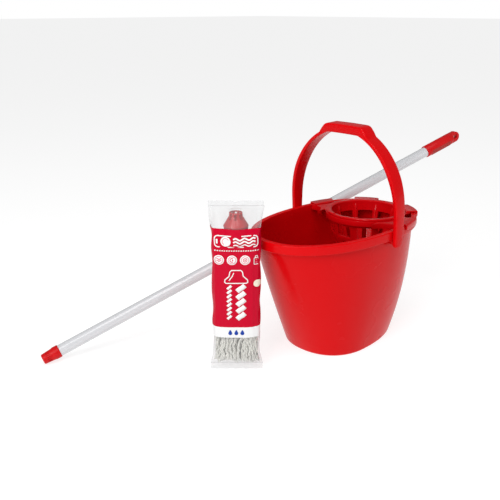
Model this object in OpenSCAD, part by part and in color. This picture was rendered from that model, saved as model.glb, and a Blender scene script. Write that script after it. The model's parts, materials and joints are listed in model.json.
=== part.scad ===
// Oval mop bucket with a lift-out wringer, a leaning threaded pole and a bagged cotton mop head.
// The origin is on the floor under the middle of the rim. +X points to the wringer end,
// +Y to the side that the pole leans on, and +Z up. Sizes are in millimetres.

/* [Bucket] */
// Length over the rim
rim_l = 380; // [330:2:456]
// Width over the rim
rim_w = 238; // [210:2:286]
// Height to the top of the rim
bucket_h = 244; // [200:2:294]
// Reach of the foot toward the spout end
foot_back = 89; // [74:1:108]
// Reach of the foot toward the wringer end
foot_front = 147; // [120:1:160]
// Width of the foot
foot_w = 168; // [140:2:200]
// Thickness of the moulded wall
wall_t = 2.4; // [1.6:0.1:3.2]
// How far the rim stands out from the wall
lip_out = 8; // [6.5:0.5:11]
// Height of the rim's skirt
lip_h = 17; // [12:1:22]

/* [Bail handle] */
// Where the bail's pivots stand along the bucket
pivot_x = 28; // [20:1:36]
// Height of the grip's top over the pivots
bail_h = 198; // [170:2:240]
// Width of the strap along its arch
strap_w = 31; // [25:1:37]
// Width of the strap at its feet
leg_w = 22; // [20:0.5:25]
// Thickness of the strap
strap_t = 8; // [6:0.5:11]
// Thickness of the raised hand grip
grip_t = 16; // [12:0.5:20]
// Length of the raised hand grip
grip_l = 84; // [66:2:100]
// Radius of the moulded pivot pegs
peg_r = 6; // [4.5:0.25:7]
// Lean of the standing bail toward the spout end, in degrees
bail_lean = 1.3; // [0:0.1:3]

/* [Wringer] */
// Radius of the collar
cup_r = 78; // [64:1:82]
// Depth of the cup
cup_d = 88; // [70:1:106]
// Height of the windows
window_h = 22; // [16:1:28]
// Number of windows round the cup
window_n = 10; // [8:1:12]
// Thickness of the wringer's walls
cup_t = 2.4; // [1.8:0.1:3.2]
// Length of the skirt under the plate's free edge
plate_skirt = 8; // [5:0.5:12]

/* [Pole] */
// Length of the pole with its cap and grip
pole_l = 1030; // [900:1:1236]
// Outer diameter of the tube
tube_d = 22; // [18:0.5:26]
// Wall of the tube
tube_t = 0.9; // [0.6:0.1:1.4]
// Length of the hand grip
handle_l = 98; // [80:2:120]
// How far the grip and the cap stand out from the tube
sleeve_t = 2; // [1.4:0.1:3]
// Length of the thread cap
cap_l = 34; // [28:1:44]

/* [Mop pack] */
// Width of the bag
bag_w = 95; // [86:1:114]
// Height of the bag with its seals
bag_h = 319; // [297:2:383]
// Thickness of the filled bag
bag_t = 47; // [46:1:57]
// How much narrower the filled bag is than its seals
bag_pinch = 11; // [6:1:14]
// Outer diameter of the socket's neck
neck_d = 23; // [22:0.5:27]
// Outer diameter of the socket's bell
bell_d = 44; // [38:1:46]

/* [Hidden] */
$fn = 64;

bright_red = [0.80, 0.02, 0.03];
dull_red = [0.66, 0.12, 0.12];
label_red = [0.86, 0.10, 0.22];
pole_white = [0.93, 0.94, 0.95];
cotton = [0.90, 0.87, 0.78];
film_clear = [0.92, 0.94, 0.95, 0.45];
paper_white = [0.96, 0.96, 0.95];
sticker_cream = [0.95, 0.92, 0.82];

// ---- The bucket's oval ----
square_off = 2.25;   // 2 is an ellipse, more is squarer
egg = 0.04;          // how much wider the wringer end is
steps = 84;          // points round the oval
back_curve = 1.02;   // 1 is a straight wall, more bellies out
front_curve = 2.98;
side_curve = 1.75;
skirt_z = bucket_h - lip_h;

function signed_pow(v, e) = sign(v) * pow(abs(v), e);
// A point of the oval at angle t, for its two reaches along X and its half width
function oval(t, back, front, half, widen = egg) =
    let (x = (cos(t) < 0 ? back : front) * signed_pow(cos(t), 2 / square_off),
         y = half * signed_pow(sin(t), 2 / square_off))
    [x, y * (1 + widen * x / (back + front) * 2)];
// How much of its flare the wall has at height z
function flare(z, curve) = 1 - pow(1 - min(1, z / skirt_z), curve);
function back_at(z) = foot_back + (rim_l / 2 - lip_out - foot_back) * flare(z, back_curve);
function front_at(z) = foot_front + (rim_l / 2 - lip_out - foot_front) * flare(z, front_curve);
function half_at(z) = (foot_w + (rim_w - 2 * lip_out - foot_w) * flare(z, side_curve)) / 2;
// A point of the wall's outer face at angle t and height z, moved out by grow
function wall_point(t, z, grow) =
    concat(oval(t, back_at(z) + grow, front_at(z) + grow, half_at(z) + grow,
                egg * min(1, z / skirt_z)), [z]);
// The same on the rim, whose outline doesn't change with height
function rim_point(t, grow) =
    oval(t, rim_l / 2 + grow, rim_l / 2 + grow, rim_w / 2 + grow);

// A closed skin over rings of points that all have the same number of points.
// With loop the last ring joins the first, and otherwise both ends are capped.
module skin(rings, loop = false, flip_from = 1e6) {
    n = len(rings[0]);
    last = len(rings) - (loop ? 1 : 2);
    points = [for (ring = rings) for (p = ring) p];
    sides = [for (r = [0 : last]) for (i = [0 : n - 1])
        let (a = r * n + i, b = r * n + (i + 1) % n,
             c = ((r + 1) % len(rings)) * n + (i + 1) % n,
             d = ((r + 1) % len(rings)) * n + i)
        each (r < flip_from ? [[a, d, c], [a, c, b]] : [[a, d, b], [b, d, c]])];
    caps = loop ? [] : [[for (i = [0 : n - 1]) i],
                        [for (i = [n - 1 : -1 : 0]) (len(rings) - 1) * n + i]];
    polyhedron(points, concat(sides, caps), convexity = 8);
}

// ---- Bucket ----
foot_round = 5;
rim_round = 1.5;
flange_t = 2.6;
levels = [0.04, 0.09, 0.15, 0.22, 0.31, 0.42, 0.54, 0.67, 0.82];
pivot_z = skirt_z;
pivot_fit = 0.05;
ear_r = peg_r + 4.5;
ear_grip = lip_out - 0.6;
leg_gap = 0.6;

module bucket_skin() {
    profile = concat(
        [[0, -foot_round], [foot_round * 0.25, -foot_round * 0.4], [foot_round * 0.9, 0]],
        [for (f = levels) [f * bucket_h, 0]],
        [[bucket_h - flange_t, 0], [bucket_h - flange_t, lip_out - wall_t],
         [skirt_z, lip_out - wall_t], [skirt_z, lip_out],
         [bucket_h - rim_round, lip_out], [bucket_h - rim_round * 0.3, lip_out - rim_round * 0.3],
         [bucket_h, lip_out - rim_round], [bucket_h, 1 - wall_t], [bucket_h - 1, -wall_t]],
        [for (i = [len(levels) - 1 : -1 : 0]) [levels[i] * bucket_h, -wall_t]],
        [[wall_t + foot_round * 0.6, -wall_t - 1], [wall_t, -wall_t - foot_round]]);
    skin([for (p = profile)
          [for (i = [0 : steps - 1]) wall_point(i * 360 / steps, p[0], p[1])]]);
}
// Half width over the rim where the bail pivots
pivot_t = acos(pow(pivot_x / (rim_l / 2), square_off / 2));
pivot_half = rim_point(pivot_t, 0)[1];

// A round post along Y, from y0 to y1 on both sides of the bucket
module pivot_posts(y0, y1, r) {
    for (side = [-1, 1])
        translate([pivot_x, side * (y0 + y1) / 2, pivot_z])
            rotate([90, 0, 0]) cylinder(h = y1 - y0, r = r, center = true);
}
module bucket_shell() {
    ear_out = pivot_half - 0.2;
    color(bright_red) difference() {
        union() {
            bucket_skin();
            difference() {
                pivot_posts(pivot_half - lip_out - wall_t * 0.5, ear_out, ear_r);
                translate([pivot_x, 0, bucket_h - 1 + ear_r])
                    cube([4 * ear_r, 2 * rim_w, 2 * ear_r], center = true);
            }
        }
        pivot_posts(pivot_half - ear_grip, rim_w, peg_r + pivot_fit);
    }
}

// ---- Bail handle ----
leg_out = pivot_half + leg_gap + strap_t;     // outer face of the legs
arch_z = 43;                                  // over the pivot, where the arms start to curve
arch_h = bail_h - arch_z - 4;
corner_y = grip_l / 2 + 14;                   // where the arms meet the rise to the grip
grip_round = 4;
grip_crown = 0.6;
foot_drop = 14;                               // under the pivots
foot_corner = 6;
full_w_z = 110;                               // over the pivots, where the strap is at its full width

// The arch's outline in the YZ plane, from the pivots up: half a width and a height over them
function arch(half, high, y) = [y, arch_z + high * sqrt(max(0, 1 - pow(y / half, 2)))];
module bail_outline() {
    n = 14;
    outer_bend = acos(corner_y / leg_out);
    inner = leg_out - strap_t;
    inner_h = arch_h - strap_t + 2;
    under = bail_h - grip_t;
    inner_end = inner * sqrt(1 - pow((under - arch_z) / inner_h, 2));
    inner_bend = acos(inner_end / inner);
    half = concat(
        [[leg_out, -foot_drop]],
        [for (i = [0 : n]) arch(leg_out, arch_h, leg_out * cos(outer_bend * i / n))],
        [[grip_l / 2 + 2, bail_h - grip_round],
         [grip_l / 2 - grip_round * 0.6, bail_h]],
        [[0, bail_h + grip_crown]]);
    inside = concat(
        [[inner, -foot_drop]],
        [for (i = [0 : n]) arch(inner, inner_h, inner * cos(inner_bend * i / n))]);
    polygon(concat(half, [for (i = [len(half) - 2 : -1 : 0]) [-half[i][0], half[i][1]]],
                   [for (p = inside) [-p[0], p[1]]],
                   [for (i = [len(inside) - 1 : -1 : 0]) inside[i]]));
}
// The strap seen along the pivots: narrow rounded feet that widen toward the arch
module bail_side() {
    polygon([[-leg_w / 2, 0], [leg_w / 2, 0], [strap_w / 2, full_w_z],
             [strap_w / 2, bail_h + 2], [-strap_w / 2, bail_h + 2], [-strap_w / 2, full_w_z]]);
    hull() {
        translate([-leg_w / 2, -0.5]) square([leg_w, 0.5]);
        for (side = [-1, 1])
            translate([side * (leg_w / 2 - foot_corner), foot_corner - foot_drop])
                circle(foot_corner);
    }
}
module bail_handle() {
    color(bright_red)
    translate([pivot_x, 0, pivot_z]) rotate([0, -bail_lean, 0]) {
        intersection() {
            rotate([90, 0, 90]) linear_extrude(strap_w + 2, center = true) bail_outline();
            rotate([90, 0, 0]) linear_extrude(2 * leg_out + 2, center = true) bail_side();
        }
        for (side = [-1, 1])
            translate([0, side * (pivot_half + leg_gap - (ear_grip - 0.6 + leg_gap) / 2), 0])
                rotate([90, 0, 0])
                    cylinder(h = ear_grip - 0.6 + leg_gap, r = peg_r, center = true);
    }
}

// ---- Wringer ----
rest_gap = 0.4;                                // between the rim and what lies over it
plate_t = 2.4;
plate_top = bucket_h + rest_gap;
rim_inset = 1.2;                               // between the plate's edge and the rim's mouth
gap_inset = 13;                                // the drain gap between the hooks
cup_x = rim_l / 2 - lip_out - cup_r - 11;
neck_r = cup_r - 8;
neck_fit = 0.6;
collar_h = 4.3;
scoop_r = 30;                                  // the concave free edge of each wing
scoop_y = cup_r + 18;
scoop_x = pivot_x + strap_w / 2 + 1.5 - scoop_r + 9;
hook_t = 2.6;
hook_drop = 8;
hook_in = 12;
// The oval's angles where each hook starts and ends
side_hook = [56, 73.5];
end_hook = [14, 36];

module plate_outline() {
    mouth = -lip_out - wall_t - rim_inset;
    difference() {
        union() {
            difference() {
                polygon([for (i = [0 : steps - 1]) rim_point(i * 360 / steps, mouth)]);
                translate([-rim_l, -rim_w]) square([rim_l + scoop_x, 2 * rim_w]);
                translate([-rim_l, -scoop_y + scoop_r])
                    square([rim_l + cup_x - 47, 2 * (scoop_y - scoop_r)]);
                for (side = [-1, 1]) {
                    translate([scoop_x, side * scoop_y]) circle(scoop_r);
                    drain_gap(side);
                }
            }
            translate([cup_x, 0]) circle(cup_r + 1);
        }
        translate([cup_x, 0]) circle(neck_r + neck_fit);
    }
}
// The long gap between the side hook and the end hook that lets water back into the bucket
module drain_gap(side) {
    a = side_hook[0] - 1;
    b = end_hook[1] + 1;
    n = 8;
    outer = [for (i = [0 : n]) rim_point(a + (b - a) * i / n, 0)];
    inner = [for (i = [n : -1 : 0])
             rim_point(a + (b - a) * i / n, -lip_out - wall_t - gap_inset * sin(180 * min(1, max(0.12, i / n))) ^ 0.5)];
    polygon([for (p = concat(outer, inner)) [p[0], side * p[1]]]);
}
module wringer_plate() {
    color(bright_red) {
        translate([0, 0, plate_top - plate_t]) linear_extrude(plate_t) plate_outline();
        translate([0, 0, plate_top - plate_t - plate_skirt])
            linear_extrude(plate_skirt) intersection() {
                plate_outline();
                union() {
                    for (side = [-1, 1])
                        translate([scoop_x, side * scoop_y]) circle(scoop_r + cup_t);
                    translate([cup_x, 0]) difference() {
                        circle(cup_r + 1);
                        circle(cup_r + 1 - cup_t);
                        translate([-40, -rim_w]) square([rim_l, 2 * rim_w]);
                    }
                }
            }
    }
}

// A hook over the rim, swept along the oval from angle a to angle b
module rim_hook(a, b) {
    n = 8;
    out = 0.6 + hook_t;
    low = bucket_h - hook_drop;
    section = [[-lip_out - hook_in, plate_top], [-lip_out - hook_in, plate_top + hook_t * 0.6],
               [-lip_out - hook_in + 2, plate_top + hook_t], [out - 1.5, plate_top + hook_t],
               [out, plate_top + hook_t - 1.5], [out, low], [out - hook_t, low],
               [out - hook_t, plate_top]];
    skin([for (i = [0 : n]) let (t = a + (b - a) * i / n)
          [for (s = section) concat(rim_point(t, s[0]), [s[1]])]]);
}
module side_hooks() {
    color(bright_red) {
        rim_hook(side_hook[0], side_hook[1]);
        mirror([0, 1, 0]) rim_hook(side_hook[0], side_hook[1]);
    }
}
module end_hooks() {
    color(bright_red) {
        rim_hook(end_hook[0], end_hook[1]);
        mirror([0, 1, 0]) rim_hook(end_hook[0], end_hook[1]);
    }
}

band_h = 16;
window_w = 2 * PI * neck_r / window_n * 0.68;
shoulder_r = neck_r - 5;                       // under the windows
base_r = neck_r * 0.66;
shoulder_z = -band_h - window_h - 5;
rib_depth = 3;
drain_slots = 12;

// The cup's outer wall as [radius, height under the plate's top], and the same moved in by a wall
cup_wall = [[neck_r, 0], [neck_r - 1.5, -band_h], [shoulder_r, shoulder_z],
            [base_r + 3, -cup_d + 10], [base_r, -cup_d + 4], [base_r - 5, -cup_d]];
module cup_body() {
    rotate_extrude() polygon(concat(
        [[0, -cup_d]], [for (i = [len(cup_wall) - 1 : -1 : 0]) cup_wall[i]],
        [[cup_r - 0.8, 0], [cup_r, 0.8], [cup_r, collar_h - 1.2], [cup_r - 1.2, collar_h],
         [neck_r + 0.4, collar_h], [neck_r - cup_t, collar_h - 1.6]],
        [for (i = [0 : len(cup_wall) - 2]) [cup_wall[i][0] - cup_t, cup_wall[i][1]]],
        [[base_r - 5 - cup_t, -cup_d + cup_t], [0, -cup_d + cup_t]]));
}
module cup_rib() {
    rotate([90, 0, 0]) linear_extrude(3, center = true) polygon([
        [neck_r - cup_t * 0.5, -2], [cup_wall[1][0] - cup_t * 0.5, -band_h],
        [shoulder_r - cup_t * 0.5, shoulder_z], [base_r + 3 - cup_t * 0.5, -cup_d + 10],
        [base_r + 3 - cup_t - rib_depth, -cup_d + 10],
        [shoulder_r - cup_t - rib_depth, shoulder_z],
        [cup_wall[1][0] - cup_t - rib_depth, -band_h], [neck_r - cup_t - 1, -4]]);
}
module wringer_cup() {
    low_slot_h = cup_d + shoulder_z - 22;
    color(bright_red) translate([cup_x, 0, plate_top]) difference() {
        union() {
            cup_body();
            for (i = [0 : window_n - 1]) rotate((i + 0.5) * 360 / window_n) cup_rib();
        }
        for (i = [0 : window_n - 1]) rotate(i * 360 / window_n) {
            translate([neck_r, 0, -band_h - 0.7 - window_h / 2])
                cube([24, window_w, window_h], center = true);
            translate([(shoulder_r + base_r) / 2, 0, shoulder_z - 7 - low_slot_h / 2])
                cube([24, 9, low_slot_h], center = true);
        }
        for (i = [0 : drain_slots - 1]) rotate(i * 360 / drain_slots)
            translate([base_r * 0.55, 0, -cup_d]) cube([base_r * 0.4, 5, 12], center = true);
        translate([0, 0, -cup_d]) cylinder(h = 12, r = 7, center = true);
        // The lowered length of the collar where a mop is pressed in
        rotate(172) translate([cup_r - 8, 0, collar_h])
            cube([14, 28, 3.2], center = true);
    }
}

// ---- Pole ----
tube_r = tube_d / 2;
slide_fit = 0.15;
sleeve_r = tube_r + sleeve_t;
pole_turn = -16.7;                             // seen from above
pole_run = 682;                                // from the cap's tip to the rim
rest_t = 48;                                   // the oval's angle where the pole passes the rim
rest_drop = 7;
rest_gap_out = 5.8;                            // clears the wringer's hooks too
floor_gap = 0.4;
cap_tip_r = tube_r - 1.2;
pass = rim_point(rest_t, 0);
pass_out = [cos(pole_turn + 90), sin(pole_turn + 90)] * (tube_r + rest_gap_out);
pole_tilt = asin((bucket_h - rest_drop - cap_tip_r - floor_gap) / pole_run);
pole_pass = [pass[0] + pass_out[0], pass[1] + pass_out[1], bucket_h - rest_drop];

// Moves its children from a frame whose +Z runs up the pole from the tip of the cap
module along_pole() {
    translate(pole_pass) rotate([0, 90 - pole_tilt, pole_turn]) translate([0, 0, -pole_run])
        children();
}
tube_start = cap_l - 10;
tube_end = pole_l - 26;
plug_l = 28;
thread_r = tube_r - 2.4;
thread_start = 5;
thread_pitch = 4;

module pole_tube() {
    color(pole_white) along_pole() translate([0, 0, tube_start]) difference() {
        cylinder(h = tube_end - tube_start, r = tube_r);
        translate([0, 0, -1])
            cylinder(h = tube_end - tube_start + 2, r = tube_r - tube_t);
    }
}
// The threaded end that screws into the mop socket, plugged into the tube
module pole_thread() {
    turns = floor((tube_start - thread_start - 3) / thread_pitch);
    color(dull_red) along_pole() rotate_extrude() polygon(concat(
        [[0, thread_start], [thread_r - 1.6, thread_start]],
        [for (i = [0 : turns - 1]) let (z = thread_start + 1 + i * thread_pitch)
            each [[thread_r - 1.2, z], [thread_r, z + 1], [thread_r, z + 2],
                  [thread_r - 1.2, z + 3]]],
        [[thread_r - 1.2, tube_start], [tube_r - tube_t, tube_start],
         [tube_r - tube_t, tube_start + plug_l], [0, tube_start + plug_l]]));
}
module thread_cap() {
    cap_slots = 18;
    color(bright_red) along_pole() difference() {
        rotate_extrude() polygon([[0, 0], [cap_tip_r - 2.5, 0], [cap_tip_r - 0.6, 0.8],
            [cap_tip_r, 2.6], [tube_r + 0.2, cap_l * 0.62], [tube_r + sleeve_t * 0.6, cap_l * 0.7],
            [tube_r + sleeve_t * 0.6, cap_l - 0.6], [tube_r + sleeve_t * 0.4, cap_l],
            [tube_r + slide_fit, cap_l], [tube_r + slide_fit, tube_start - 0.5],
            [thread_r + 0.3, tube_start - 0.5], [thread_r + 0.3, 3.6], [thread_r - 0.3, 3],
            [0, 3]]);
        for (i = [0 : cap_slots - 1]) rotate((i + 0.5) * 360 / cap_slots)
            translate([tube_r, 0, cap_l * 0.36]) cube([3.2, 1.5, 7], center = true);
    }
}
tongue_w = 2 * sleeve_r - 3;
tongue_t = 11;
tongue_l = 24;
hole_l = 9.5;
hole_w = 8;
pad_l = handle_l * 0.56;
pad_start = pole_l - handle_l + 12;
pad_w = 2 * sleeve_r * 0.62;
pad_side = -1;                                 // on the side away from the leaning rim
pad_roll = 35;

// What the pad fills, let into the grip's side
module pad_space() {
    rotate(pad_roll) translate([0, pad_side * sleeve_r, pad_start + pad_l / 2])
        cube([pad_w, sleeve_t * 3, pad_l], center = true);
}
module pole_grip() {
    body_end = pole_l - tongue_l;
    color(bright_red) along_pole() difference() {
        union() {
            rotate_extrude() polygon([[0, tube_end], [tube_r + slide_fit, tube_end],
                [tube_r + slide_fit, pole_l - handle_l],
                [sleeve_r - 0.8, pole_l - handle_l], [sleeve_r, pole_l - handle_l + 1.2],
                [sleeve_r, body_end - 2], [sleeve_r - 1.5, body_end + 2],
                [tongue_t / 2, body_end + 7], [0, body_end + 7]]);
            rotate([90, 0, 0]) linear_extrude(tongue_t, center = true) {
                translate([-tongue_w / 2, tube_end])
                    square([tongue_w, pole_l - tube_end - tongue_w / 2]);
                translate([0, pole_l - tongue_w / 2]) circle(tongue_w / 2);
            }
        }
        translate([0, 0, pole_l - tongue_w / 2 + 1])
            cube([hole_w, 4 * sleeve_r, hole_l], center = true);
        intersection() {
            pad_space();
            difference() {
                cylinder(h = pole_l, r = sleeve_r + 2);
                cylinder(h = pole_l, r = sleeve_r - 0.9);
            }
        }
    }
}
// The ribbed soft pad on the grip
module grip_pad() {
    ribs = 14;
    rib_l = pad_l / ribs;
    color(dull_red) along_pole() intersection() {
        pad_space();
        rotate_extrude() polygon(concat(
            [[sleeve_r - 0.9, pad_start], [sleeve_r + 0.2, pad_start]],
            [for (i = [0 : ribs - 1]) let (z = pad_start + i * rib_l)
                each [[sleeve_r + 0.2, z + rib_l * 0.2], [sleeve_r + 0.7, z + rib_l * 0.4],
                      [sleeve_r + 0.7, z + rib_l * 0.7], [sleeve_r + 0.2, z + rib_l * 0.9]]],
            [[sleeve_r + 0.2, pad_start + pad_l], [sleeve_r - 0.9, pad_start + pad_l]]));
    }
}

// ---- Mop pack ----
pack_turn = -44.3;
pack_gap = 27;                                 // from the rim's spout end to the bag's middle
pack_y = 33.2;
seal_t = 1.2;
foot_seal_h = 12;
top_seal_h = 8.5;
film_t = 0.8;
film_steps = 48;
bag_corner = 0.6;                              // 1 is an ellipse, less is squarer
film_top = bag_h - top_seal_h;
foot_taper = 24;                               // height over which the bag fills out from its foot
head_taper = 66;
yarn_low = foot_seal_h + foot_taper * 0.8;
socket_top = bag_h - 20;
neck_h = 8;
bell_h = 44;
bell_low = socket_top - neck_h - bell_h;
crown_h = 42;
yarn_gap = 0.4;

// Moves its children from the bag's own frame, whose -Y side faces out, to its place
module at_pack() {
    translate([-rim_l / 2 - pack_gap - 13, pack_y, 0]) rotate(pack_turn) children();
}
// How full the bag is at height z: flat at both seals and full in between
function fullness(z) =
    let (low = min(1, max(0, (z - foot_seal_h) / foot_taper)), high = min(1, max(0, (film_top - z) / head_taper)))
    min(sin(90 * low), sin(90 * high));
// A point of the full bag's section at angle t, moved out by grow
function bag_ring_point(t, grow) =
    [((bag_w - bag_pinch) / 2 + grow) * signed_pow(cos(t), bag_corner),
     (bag_t / 2 + grow) * signed_pow(sin(t), bag_corner)];
// The radius that the film needs to drape over the socket, at height z
function cover_r(z) = lookup(z, [
    [bell_low - 12, 0], [bell_low, bell_d / 2 + 2.1],
    [socket_top - neck_h - 13, bell_d / 2 + 2.1],
    [socket_top - neck_h + 1, neck_d / 2 + 3.6], [socket_top + 1.4, neck_d / 2 + 2.5],
    [socket_top + 6, neck_d / 2 - 6], [film_top, 0]]);
// A ring round the bag at height z, moved out by grow: a pillow that stands up over the socket
function bag_ring(z, grow) =
    let (thick = seal_t / 2 + (bag_t / 2 - seal_t / 2) * fullness(z) + grow,
         wide = (bag_w - bag_pinch * fullness(z)) / 2 + grow, cover = cover_r(z) + grow)
    [for (i = [0 : film_steps - 1])
        let (t = i * 360 / film_steps, x = wide * signed_pow(cos(t), bag_corner),
             pillow = thick * signed_pow(abs(sin(t)), bag_corner),
             drape = sqrt(max(0, cover * abs(cover) - x * x)))
        [x, sign(sin(t)) * max(pillow, drape), z]];
band_low = 74;
label_low = 94;
label_share = 0.4545;                          // how far up the tapered head the print ends
label_high = film_top - head_taper * (1 - label_share);
bag_levels = concat([for (i = [0 : 5]) foot_seal_h + foot_taper * i / 5], [band_low, label_low],
                    [for (f = [0, 0.167, 0.318, label_share, 0.56, 0.67, 0.78, 0.85, 0.92, 1])
                     film_top - head_taper * (1 - f)]);
// A tube of film whose two ends the seals close
module bag_film() {
    last = len(bag_levels) - 1;
    color(film_clear) at_pack() skin(concat(
        [for (z = bag_levels) bag_ring(z, 0)],
        [for (i = [last : -1 : 0])
            bag_ring(bag_levels[i], i == 0 || i == last ? -seal_t * 0.2 : -film_t)]),
        loop = true, flip_from = last + 1);
}
module flat_seal(z, h) {
    color(film_clear) at_pack() translate([-bag_w / 2, -seal_t / 2, z])
        cube([bag_w, seal_t, h]);
}
module bag_foot_seal() { flat_seal(0, foot_seal_h); }
module bag_top_seal() { flat_seal(film_top, top_seal_h); }

// A thin printed layer round the film between two heights
print_gap = 0.2;
print_t = 0.4;
module print_layer(low, high) {
    zs = [for (z = bag_levels) if (z > low - 0.01 && z < high + 0.01) z];
    at_pack() skin(concat(
        [for (z = zs) bag_ring(z, print_gap + print_t)],
        [for (i = [len(zs) - 1 : -1 : 0]) bag_ring(zs[i], print_gap)]),
        loop = true, flip_from = len(zs));
}
module label_sleeve() { color(label_red) print_layer(label_low, label_high); }
module label_band() { color(paper_white) print_layer(band_low, label_low); }
module round_sticker() {
    sticker_r = 6.5;
    sticker_z = 176;
    at = 36;                                   // the bag's own angle where the sticker's middle is
    p = bag_ring_point(-at, print_gap + print_t + 0.5);
    color(sticker_cream) at_pack() translate([p[0], p[1], sticker_z])
        rotate([90, 0, 36]) cylinder(h = 0.4, r = sticker_r);
}

module mop_socket() {
    neck_r = neck_d / 2;
    bell_r = bell_d / 2;
    bore_r = thread_r + 0.4;
    flutes = 8;
    color(bright_red) at_pack() translate([0, 0, socket_top]) difference() {
        rotate_extrude() polygon([[bore_r, 0], [neck_r - 0.8, 0], [neck_r, -0.8],
            [neck_r + 0.8, -neck_h], [bell_r - 0.8, -neck_h - 14], [bell_r, -neck_h - 15.5],
            [bell_r - 1.5, -neck_h - 24], [bell_r, -neck_h - bell_h],
            [bell_r - 2, -neck_h - bell_h], [bell_r - 3.5, -neck_h - 24],
            [bell_r - 2.4, -neck_h - 18.5], [bore_r, -neck_h - 12]]);
        for (i = [0 : flutes - 1]) rotate(i * 360 / flutes)
            translate([neck_r + 1.6, 0, -neck_h - 12]) rotate([0, -7, 0])
                cylinder(h = neck_h + 10, r = 2.6);
    }
}
// The ring inside the bell that pins the folded yarn
module yarn_plug() {
    plug_r = bell_d / 2 - 3.7;
    color(bright_red) at_pack() translate([0, 0, bell_low + 6]) difference() {
        cylinder(h = 8, r = plug_r);
        translate([0, 0, -1]) cylinder(h = 10, r = plug_r - 3);
    }
}
// The folded yarn under the bell
module yarn_crown() {
    r = bell_d / 2;
    color(cotton) at_pack() translate([0, 0, bell_low - yarn_gap]) rotate_extrude()
        polygon([[0, 0], [r - 4, 0], [r - 1, -6], [r - 0.5, -crown_h + 8], [r - 2, -crown_h],
                 [0, -crown_h]]);
}
// One hanging bundle of cords, between two places across the bag
module yarn_bundle(x0, x1, thick) {
    r = 7;
    color(cotton) at_pack() translate([0, 0, yarn_low])
        linear_extrude(bell_low - yarn_gap - crown_h - yarn_gap - yarn_low) union() {
            translate([x0 + r, -thick / 2]) square([x1 - x0 - 2 * r, thick]);
            translate([x0, -thick / 2 + r]) square([x1 - x0, thick - 2 * r]);
            for (x = [x0 + r, x1 - r], y = [-thick / 2 + r, thick / 2 - r])
                translate([x, y]) circle(r);
        }
}
bundle_w = (bag_w - bag_pinch - 14) / 4;
module bundle_at(i) {
    yarn_bundle((i - 2.5) * bundle_w - bundle_w / 2 + yarn_gap / 2,
                (i - 2.5) * bundle_w + bundle_w / 2 - yarn_gap / 2,
                bag_t * (i == 1 || i == 4 ? 0.42 : 0.68));
}
module yarn_bundle_1() { bundle_at(1); }
module yarn_bundle_2() { bundle_at(2); }
module yarn_bundle_3() { bundle_at(3); }
module yarn_bundle_4() { bundle_at(4); }

bucket_shell();
bail_handle();
wringer_plate();
wringer_cup();
side_hooks();
end_hooks();
pole_tube();
pole_grip();
grip_pad();
pole_thread();
thread_cap();
mop_socket();
yarn_plug();
yarn_crown();
yarn_bundle_1();
yarn_bundle_2();
yarn_bundle_3();
yarn_bundle_4();
bag_film();
bag_foot_seal();
bag_top_seal();
label_sleeve();
label_band();
round_sticker();
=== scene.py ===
# %% [markdown]
# # An oval mop bucket, its wringer, pole and mop head
# The bucket, bail and wringer are glossy red mouldings, the pole is a coated steel tube, and the
# mop head is cotton cord in a clear bag with a printed sleeve. The CAD frame gives every size
# and place. This lesson rebuilds each piece around it with smooth walls, rounded edges and
# finishes that show how the real thing is made.

# %% Load the frame
import json
import math

import bmesh
import bpy
import numpy as np
from mathutils import Matrix, Vector, noise


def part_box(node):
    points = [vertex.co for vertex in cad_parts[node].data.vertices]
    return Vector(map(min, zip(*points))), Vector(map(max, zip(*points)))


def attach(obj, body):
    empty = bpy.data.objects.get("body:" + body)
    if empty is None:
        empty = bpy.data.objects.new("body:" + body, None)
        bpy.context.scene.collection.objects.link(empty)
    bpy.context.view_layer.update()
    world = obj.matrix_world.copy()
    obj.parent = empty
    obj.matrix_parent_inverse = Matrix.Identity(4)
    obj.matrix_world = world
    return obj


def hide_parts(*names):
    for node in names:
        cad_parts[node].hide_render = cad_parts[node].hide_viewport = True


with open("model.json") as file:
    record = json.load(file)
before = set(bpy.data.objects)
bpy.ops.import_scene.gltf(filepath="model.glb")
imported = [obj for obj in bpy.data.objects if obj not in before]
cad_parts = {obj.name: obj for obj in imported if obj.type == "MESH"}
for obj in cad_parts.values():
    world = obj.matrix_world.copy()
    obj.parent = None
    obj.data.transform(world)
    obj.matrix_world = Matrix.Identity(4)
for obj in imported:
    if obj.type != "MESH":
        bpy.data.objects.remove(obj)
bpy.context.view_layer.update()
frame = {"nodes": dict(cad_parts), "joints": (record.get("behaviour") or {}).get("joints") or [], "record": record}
MM = 0.001
TURN = 2 * math.pi

# %% [markdown]
# The camera stands where it sees the spout end and the long side, a little above the rim. A
# camera only needs a place, a direction and a lens, so no target object is made.

# %% Camera
CAMERA_PLACE = Vector((-1.0258, -0.8183, 0.6289))
CAMERA_AIM = Vector((0.6603, 0.6777, -0.3236))
camera = bpy.data.objects.new("camera", bpy.data.cameras.new("camera"))
bpy.context.scene.collection.objects.link(camera)
camera.location = CAMERA_PLACE
camera.rotation_euler = CAMERA_AIM.to_track_quat("-Z", "Y").to_euler()
camera.data.sensor_width = 36
camera.data.lens = 51.07
bpy.context.scene.camera = camera

# %% [markdown]
# A small helper keeps node code short: it adds a node, sets its options, and joins or fills its
# inputs by name. The same helper serves materials and Geometry Nodes.


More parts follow.
